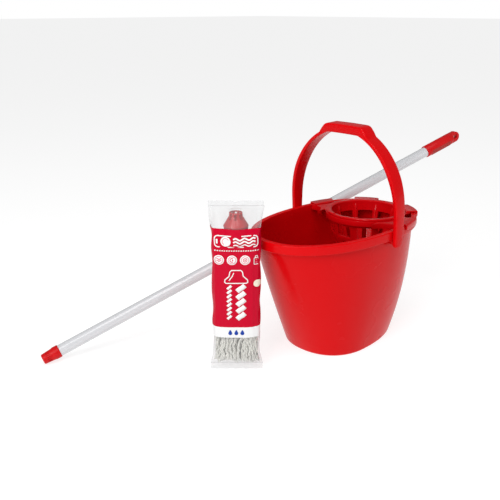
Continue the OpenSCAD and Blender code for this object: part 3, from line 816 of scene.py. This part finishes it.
def seal(name, node, low, high, tree):
    """A crimped band that ripples toward the bag. The top one dips a little in its middle."""
    columns, rows = 60, 40
    points = []
    for r in range(rows + 1):
        for c in range(columns + 1):
            x = BAG_W * (c / columns - 0.5)
            dip = DIP * math.exp(-(x / DIP_HALF) ** 2) if low > FILM_LOW.z else 0
            z = low + (high - dip - low) * r / rows
            away = (z - FILM_LOW.z) if low < FILM_LOW.z else (FILM_HIGH.z - z)
            ripple = RIPPLE * math.sin(c * 0.55 + 1.3) * min(1, abs(away) / (high - low))
            points.append((x, ripple * math.cos(math.pi * x / BAG_W), z))
    w = columns + 1
    faces = [(r * w + c, r * w + c + 1, (r + 1) * w + c + 1, (r + 1) * w + c)
             for r in range(rows) for c in range(columns)]
    piece = run_tree(new_piece(name, mesh_of(name, points, faces)), tree)
    thicken(piece, SEAL_FILM_T)
    piece.data.transform(TO_PACK)
    piece.data.shade_smooth()
    return settle(piece, node)


crimps = crimp_tree()
seal("foot_seal", "bag_foot_seal", 0.2 * MM, FILM_LOW.z + 0.5 * MM, crimps)
seal("top_seal", "bag_top_seal", FILM_HIGH.z - 0.5 * MM, TOP_SEAL_HIGH, crimps)

# %% [markdown]
# The print is a thin layer of ink just outside the bag, which follows every crease. It covers the
# front and goes a little way round each side.


# %% Printed sleeve and band
def ink(name, colour):
    return finish_of(name, colour, 0.22, drift=0.03, bump=0.10, bump_scale=120.0,
                     Specular_IOR_Level=0.08)


sleeve_ink = ink("sleeve ink", (0.55, 0.002, 0.024))
band_ink = ink("white band ink", (0.84, 0.84, 0.84))
white_ink = ink("white print", (0.88, 0.87, 0.86))
rose_ink = ink("rose print", (0.78, 0.10, 0.16))
blue_ink = ink("blue print", (0.02, 0.06, 0.35))
WRAP, LAYER_STEP, INK_T = math.radians(15), 2.6 * MM, 0.12 * MM


def layer(name, node, material):
    """A thin printed layer over the bag's front and sides, between its node's heights."""
    low, high = (corner.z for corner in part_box(node))
    count = max(8, round((high - low) / LAYER_STEP))
    front = (110, math.pi - WRAP, TURN + WRAP)
    rings = []
    for i in range(count + 1):
        z = low + (high - low) * i / count
        rings.append(bag_ring(z, INK_HIGH, *front) + bag_ring(z, INK_LOW, *front)[::-1])
    mesh = sweep(name, rings)
    shade(mesh, 50)
    return settle(dress(new_piece(name, mesh), material), node)


layer("printed_sleeve", "label_sleeve", sleeve_ink)
layer("white_band", "label_band", band_ink)

# %% [markdown]
# The print is made of strokes and dots that are wrapped on the front of the bag. A stroke is a
# ribbon along a line, cut short enough to follow the creases, and a dot is a fan of rings.


# %% Print helpers
def front_angle(x):
    """The bag's own angle on its front side at this place across it."""
    wide = (BAG_W - BAG_PINCH) / 2
    share = max(-0.98, min(0.98, x / wide))
    return -math.acos(signed(share, 1 / BAG_CORNER))


def on_front(x, z):
    return bag_point(front_angle(x), z, PRINT_GROW)


def stroke(points, width, steps, closed=False):
    """Ribbon vertices and faces along points (x, z) in millimetres."""
    path = [Vector((x * MM, z * MM)) for x, z in points]
    if closed:
        path.append(path[0])
    dense = []
    for a, b in zip(path, path[1:]):
        dense += [a.lerp(b, i / steps) for i in range(steps)]
    dense.append(path[-1])
    vertices, faces = [], []
    for i, p in enumerate(dense):
        before = dense[i - 1] if i else (dense[-2] if closed else p)
        after = dense[i + 1] if i + 1 < len(dense) else (dense[1] if closed else p)
        run = (after - before).normalized()
        side = Vector((-run.y, run.x)) * width * MM / 2
        for share in (-1, 0, 1):
            q = p + side * share
            vertices.append(on_front(q.x, q.y))
    for i in range(len(dense) - 1):
        for k in (0, 1):
            a = i * 3 + k
            faces.append((a, a + 1, a + 4, a + 3))
    return vertices, faces


def dot(x, z, radius, n=32, rings=4):
    vertices = [on_front(x * MM, z * MM)]
    for r in range(1, rings + 1):
        for i in range(n):
            a = TURN * i / n
            vertices.append(on_front((x + radius * r / rings * math.cos(a)) * MM,
                                     (z + radius * r / rings * math.sin(a)) * MM))
    faces = [(0, 1 + i, 1 + (i + 1) % n) for i in range(n)]
    for r in range(rings - 1):
        for i in range(n):
            a, b = 1 + r * n + i, 1 + r * n + (i + 1) % n
            faces.append((a, a + n, b + n, b))
    return vertices, faces


def printed(name, shapes, material, lift=0.0):
    """One thin printed piece from several shapes."""
    points, faces = [], []
    outward = (TO_PACK.to_3x3() @ Vector((0, -1, 0))) * lift
    for vertices, own in shapes:
        faces += [tuple(len(points) + v for v in face) for face in own]
        points += [tuple(v + outward) for v in vertices]
    mesh = mesh_of(name, points, faces)
    piece = new_piece(name, mesh)
    tidy_normals(mesh)
    thicken(piece, INK_T)
    piece.data.shade_smooth()
    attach(dress(piece, material), "pack")


# %% [markdown]
# The picture on the sleeve is generic: water waves and a disc in a rounded frame, three round
# care marks, a small bottle, the outline of a mop, and two lengths of rope in place of any
# words. The rope is a row of slanted lozenges, as its strands look from the side.


# %% The sleeve's picture
def rounded_frame(x0, x1, z0, z1, r):
    corners = [(x1 - r, z1 - r, 0), (x0 + r, z1 - r, 90), (x0 + r, z0 + r, 180),
               (x1 - r, z0 + r, 270)]
    return [p for x, z, start in corners for p in arc(x, z, r, start, start + 90, 3)]


def wave(x0, x1, z, height, cycles):
    return [(x0 + (x1 - x0) * i / 24, z + height * math.sin(TURN * cycles * i / 24))
            for i in range(25)]


def circle(x, z, r):
    return arc(x, z, r, 0, 360, 20)[:-1]


def rope(x, z0, z1, width, pitch):
    """Slanted lozenges up the print, as wide as the rope."""
    count = round((z1 - z0) / pitch)
    for i in range(count):
        z = z0 + (z1 - z0) * (i + 0.5) / count
        yield stroke([(x - width * 0.32, z - pitch * 0.42), (x - width * 0.12, z - pitch * 0.12),
                      (x + width * 0.12, z + pitch * 0.12), (x + width * 0.32, z + pitch * 0.42)],
                     width * 0.42, 2)


MOP_SHAPE = [(-7.5, 201.4), (8.5, 201.4), (11.2, 198.5), (12.5, 190.6), (19.6, 184),
             (20.2, 179.5), (17.5, 177.6), (-16.5, 177.6), (-19.2, 179.5), (-18.6, 184),
             (-11.5, 190.6), (-10.2, 198.5)]
CARE_MARKS = [(-28.6, 220), (-6.5, 220), (15.6, 220)]

sleeve_print = [stroke(rounded_frame(-36, 37, 243.4, 263, 6), 1.8, 3, closed=True),
                dot(-17, 253.2, 8.6),
                stroke(wave(-4, 33, 257.6, 1.8, 2.5), 2.8, 2),
                stroke(wave(-4, 33, 252.2, 1.8, 2.5), 2.8, 2),
                stroke(wave(-4, 33, 246.8, 1.4, 2.5), 2.0, 2),
                stroke([(-32, 257), (-32, 249)], 3.0, 4),
                stroke(MOP_SHAPE, 1.8, 4, closed=True),
                stroke([(-3.5, 197), (-6.5, 190), (-12, 182.5)], 1.6, 6)]
sleeve_print += [stroke([(x, 236.3), (x + 2.2, 237.2)], 1.9, 3) for x in range(-36, 37, 4)]
sleeve_print += [dot(x, z, 8.7) for x, z in CARE_MARKS]
sleeve_print += [stroke(rounded_frame(30.8, 38.4, 211.6, 223.2, 1.2), 1.2, 3, closed=True),
                 stroke([(33, 223.6), (33, 226.9), (36.4, 226.9), (36.4, 223.6)], 1.1, 3)]
sleeve_print += list(rope(-11.5, 109.5, 174, 10.5, 8.2)) + list(rope(8.4, 109, 174.5, 21, 13.2))
printed("sleeve_print", sleeve_print, white_ink)

mark_print = [stroke(circle(x, z, 6.4), 0.8, 1, closed=True) for x, z in CARE_MARKS]
mark_print += [stroke(wave(-32.4, -24.8, 221.4, 1.1, 1.5), 1.2, 1),
               stroke(wave(-32.4, -24.8, 218.2, 1.1, 1.5), 1.2, 1),
               stroke(arc(-6.5, 220, 3.4, 60, 300, 20), 1.4, 1), dot(-5.4, 220, 1.3, 16, 2),
               stroke(circle(15.6, 220, 3.2), 1.2, 1, closed=True), dot(15.6, 220, 1.2, 16, 2),
               stroke(arc(-17, 253.2, 5.6, 30, 240, 20), 0.9, 1),
               dot(34.6, 215.2, 1.7, 20, 2), dot(34.6, 220, 1.2, 20, 2)]
printed("care_marks", mark_print, rose_ink, 0.25 * MM)


def water_drop(x, z, r):
    """A drop with its point up, as a fan of rings."""
    vertices, faces = dot(x, z, r, 24, 3)
    for k in range(1, len(vertices)):
        a = TURN * ((k - 1) % 24) / 24
        lift = max(0.0, math.sin(a)) ** 6 * r * 0.9 * (1 + (k - 1) // 24) / 3
        vertices[k] = vertices[k] + Vector((0, 0, lift * MM))
    return vertices, faces


printed("band_drops", [water_drop(x, 82.5, 3.4) for x in (-10.5, 0, 10.5)], blue_ink)

# %% [markdown]
# A round paper seal is stuck on the sleeve near its edge. It follows the bag's creases too.


# %% Round paper seal
sticker_paper = finish_of("paper seal", (0.86, 0.80, 0.64), 0.6, drift=0.08, drift_scale=160,
                          bump=0.2, bump_scale=2400.0)


def paper_seal():
    vertices, faces = dot(36.2, 176, 6.5, 40, 5)
    mesh = mesh_of("paper_seal", [tuple(v) for v in vertices], faces)
    tidy_normals(mesh)
    piece = thicken(new_piece("paper_seal", mesh), 0.35 * MM, 1)
    piece.data.shade_smooth()
    return settle(dress(piece, sticker_paper), "round_sticker")


paper_seal()

# %% [markdown]
# The mop's yarn is about 130 cotton cords. Geometry Nodes scatter points over the bag's
# section at an even spacing, hang a wavy line from each and sweep a round section along it.
# Each point of the skin keeps two attributes, how far down the cord it is and which way it
# faces from the cord's middle. The finish turns them into strands that twist round the cord,
# and paints the grooves between the strands darker as painted shade.


# %% Cotton
STRANDS, TWIST, CORD_R = 3, 4.5 * MM, 2.2 * MM


def cotton_finish():
    material = finish_of("cotton cord", (0.94, 0.91, 0.84), 0.9, drift=0.10, drift_scale=120,
                         bump=0.0, Sheen_Weight=0.3, Sheen_Roughness=0.5, Specular_IOR_Level=0.1)
    nodes, shader = opened(material)
    spoke = nodes.add("ShaderNodeAttribute", attribute_name="spoke")
    facing = nodes.add("ShaderNodeSeparateXYZ", {0: spoke.outputs["Vector"]})
    down = Field(nodes, nodes.add("ShaderNodeAttribute", attribute_name="down").outputs["Fac"])
    turn = Field(nodes, facing.outputs[1]).does("ARCTAN2", facing.outputs[0])
    strands = (turn * STRANDS + down * (TURN / TWIST)).does("SINE")
    place = nodes.add("ShaderNodeTexCoord").outputs["Object"]
    fluff = nodes.add("ShaderNodeTexNoise", {"Vector": place, "Scale": 1800.0, "Detail": 3.0})
    height = strands * 0.5 + fluff.outputs["Fac"]
    relief = nodes.add("ShaderNodeBump", {"Strength": 0.7, "Distance": 0.0006, "Height": height})
    nodes.feed(shader.inputs["Normal"], relief.outputs["Normal"])
    # Painted shade: the base colour is darkened in the grooves between the strands.
    painted_groove_shade = nodes.add("ShaderNodeMapRange", {"Value": strands, "From Min": -1.0, "From Max": 0.2,
                                              "To Min": 0.55, "To Max": 1.0})
    tone = shader.inputs["Base Color"].links[0].from_socket
    shaded = nodes.add("ShaderNodeMix", {"Factor": 1.0}, data_type="RGBA", blend_type="MULTIPLY")
    nodes.feed(shaded.inputs[6], tone)
    nodes.feed(shaded.inputs[7], painted_groove_shade.outputs[0])
    nodes.feed(shader.inputs["Base Color"], shaded.outputs[2])
    return material


cotton = cotton_finish()


# %% The tree that hangs the cords
def cord_tree(sizes):
    nodes, given, out = geometry_tree("hang cotton cords", sizes)
    size = {label: given.outputs[label] for label in sizes}
    spots = nodes.add("GeometryNodeDistributePointsOnFaces",
                      {"Mesh": given.outputs["Geometry"], "Distance Min": size["Spacing"],
                       "Density Max": 300000.0, "Seed": size["Seed"]}, distribute_method="POISSON")
    shorter = nodes.add("FunctionNodeRandomValue", {2: 0.94, 3: 1.0, "Seed": size["Seed"]})
    drop = Field(nodes, size["Length"]) * -1.0
    line = nodes.add("GeometryNodeCurvePrimitiveLine",
                     {"End": nodes.add("ShaderNodeCombineXYZ", {2: drop}).outputs[0]})
    scale = nodes.add("ShaderNodeCombineXYZ", {0: 1.0, 1: 1.0, 2: shorter.outputs[1]})
    hung = nodes.add("GeometryNodeInstanceOnPoints",
                     {"Points": spots.outputs[0], "Instance": line.outputs[0],
                      "Scale": scale.outputs[0]})
    lines = nodes.add("GeometryNodeRealizeInstances", {"Geometry": hung.outputs[0]})
    fine = nodes.add("GeometryNodeResampleCurve",
                     {"Curve": lines.outputs[0], "Count": size["Steps"]})
    spline = nodes.add("GeometryNodeSplineParameter")
    along = Field(nodes, spline.outputs["Factor"])
    place = nodes.add("GeometryNodeInputPosition").outputs[0]
    push = None
    for scale_of_noise, share in ((24.0, 1.0), (95.0, 0.75)):
        sway = nodes.add("ShaderNodeTexNoise",
                         {"Vector": place, "Scale": scale_of_noise, "Detail": 1.0})
        centred = nodes.add("ShaderNodeVectorMath",
                            {0: sway.outputs["Color"], 1: (0.5, 0.5, 0.5)}, operation="SUBTRACT")
        amount = along * size["Sway"] * share
        part = nodes.add("ShaderNodeVectorMath",
                         {0: centred.outputs[0],
                          1: nodes.add("ShaderNodeCombineXYZ",
                                       {0: amount, 1: amount}).outputs[0]},
                         operation="MULTIPLY").outputs[0]
        push = part if push is None else nodes.add("ShaderNodeVectorMath",
                                                   {0: push, 1: part}).outputs[0]
    waved = nodes.add("GeometryNodeSetPosition", {"Geometry": fine.outputs[0], "Offset": push})
    marked = nodes.add("GeometryNodeStoreNamedAttribute",
                       {"Geometry": waved.outputs[0], "Name": "down",
                        "Value": spline.outputs["Length"]}, data_type="FLOAT")
    section = nodes.add("GeometryNodeCurvePrimitiveCircle",
                        {"Resolution": 7, "Radius": size["Cord radius"]})
    spoke = nodes.add("ShaderNodeVectorMath",
                      {0: nodes.add("GeometryNodeInputPosition").outputs[0]},
                      operation="NORMALIZE")
    faced = nodes.add("GeometryNodeStoreNamedAttribute",
                      {"Geometry": section.outputs[0], "Name": "spoke",
                       "Value": spoke.outputs[0]}, data_type="FLOAT_VECTOR")
    cords = nodes.add("GeometryNodeCurveToMesh",
                      {"Curve": marked.outputs[0], "Profile Curve": faced.outputs[0],
                       "Fill Caps": True})
    return end_tree(nodes, out, cords.outputs[0], cotton)


# %% Hang the yarn
GATHER_H, GATHER_SHARE = 80 * MM, 0.42
YARN_HALF_W, YARN_HALF_T = 38.5 * MM, 20.5 * MM


def section_patch(name, z, inset):
    """A flat patch with the bag's section, to scatter the cords on."""
    ring = []
    for i in range(64):
        t = TURN * i / 64
        ring.append((((BAG_W - BAG_PINCH) / 2 - inset) * signed(math.cos(t), BAG_CORNER),
                     (BAG_T / 2 - inset) * signed(math.sin(t), BAG_CORNER), z))
    faces = [(0, 1 + i, 1 + (i + 1) % 64) for i in range(64)]
    return new_piece(name, mesh_of(name, [(0, 0, z)] + ring, faces))


def draw_in(mesh):
    """Gathers the cords toward the socket's bell above and the bag's foot seam below."""
    for vertex in mesh.vertices:
        x, y, z = vertex.co
        up = max(0.0, min(1.0, (z - (YARN_HIGH - GATHER_H)) / GATHER_H))
        gather = 1 - (1 - GATHER_SHARE) * up * up * (3 - 2 * up)
        low = fullness(max(z, FILM_LOW.z + 1 * MM)) if z < 0.1 else 1.0
        room = (BAG_W - BAG_PINCH * low) / (BAG_W - BAG_PINCH)
        x = max(-YARN_HALF_W, min(YARN_HALF_W, x)) * gather * room
        y = max(-YARN_HALF_T, min(YARN_HALF_T, y)) * min(1, gather * 1.5) * (0.06 + 0.94 * low)
        vertex.co = (x, y, z)


FOOT_GAP, EDGE_GAP = 2.5 * MM, 4.0 * MM
cord_sizes = {"Length": YARN_HIGH - FILM_LOW.z - FOOT_GAP, "Spacing": 3.7 * MM,
              "Cord radius": CORD_R, "Sway": 19 * MM, "Steps": 80, "Seed": 4}
yarn = section_patch("cotton_cords", YARN_HIGH, EDGE_GAP)
run_tree(yarn, cord_tree(cord_sizes))
draw_in(yarn.data)
yarn.data.transform(TO_PACK)
settle(yarn, "yarn_bundle_1", "yarn_bundle_2", "yarn_bundle_3", "yarn_bundle_4", "yarn_crown")

# %% [markdown]
# The set stands on a wide floor that is mostly lit from within, as a light table is, so its
# shadows are faint. One soft light stands at the left, a weak one at the right and one above.


# %% Floor, lights and world
def studio_floor(reach=40.0):
    corners = [(x * reach, y * reach, 0) for x, y in ((-1, -1), (1, -1), (1, 1), (-1, 1))]
    floor = new_piece("floor", mesh_of("floor", corners, [(0, 1, 2, 3)]))
    dress(floor, finish_of("studio floor", (0.34, 0.34, 0.34), 0.7, drift=0.0, bump=0.0,
                           Specular_IOR_Level=0.0, Emission_Color=(1, 1, 1, 1),
                           Emission_Strength=0.80))


def soft_light(name, place, target, size, watts):
    light = bpy.data.lights.new(name, "AREA")
    light.shape = "RECTANGLE"
    light.size, light.size_y = size
    light.energy = watts
    lamp = bpy.data.objects.new(name, light)
    bpy.context.scene.collection.objects.link(lamp)
    lamp.location = place
    aim = Vector(target) - Vector(place)
    lamp.rotation_euler = aim.to_track_quat("-Z", "Y").to_euler()


studio_floor()
soft_light("key", (-2.2, -0.5, 1.5), (0, 0, 0.15), (1.2, 1.2), 30)
soft_light("right_window", (1.0, -2.0, 1.0), (0.05, 0, 0.2), (0.5, 1.6), 2.5)
soft_light("top", (-0.7, -0.7, 2.3), (0, 0, 0.1), (1.6, 1.6), 27)


def studio_world():
    """An even pale room that is plain white where the camera looks straight at it."""
    world = bpy.data.worlds.new("studio")
    bpy.context.scene.world = world
    world.use_nodes = True
    nodes = Nodes(world.node_tree)
    seen = nodes.add("ShaderNodeLightPath").outputs["Is Camera Ray"]
    strength = Field(nodes, seen) * 0.75 + 0.25
    nodes.feed(world.node_tree.nodes["Background"].inputs["Strength"], strength)
    world.node_tree.nodes["Background"].inputs["Color"].default_value = (1, 1, 1, 1)


studio_world()
bpy.context.scene.view_settings.view_transform = "Standard"
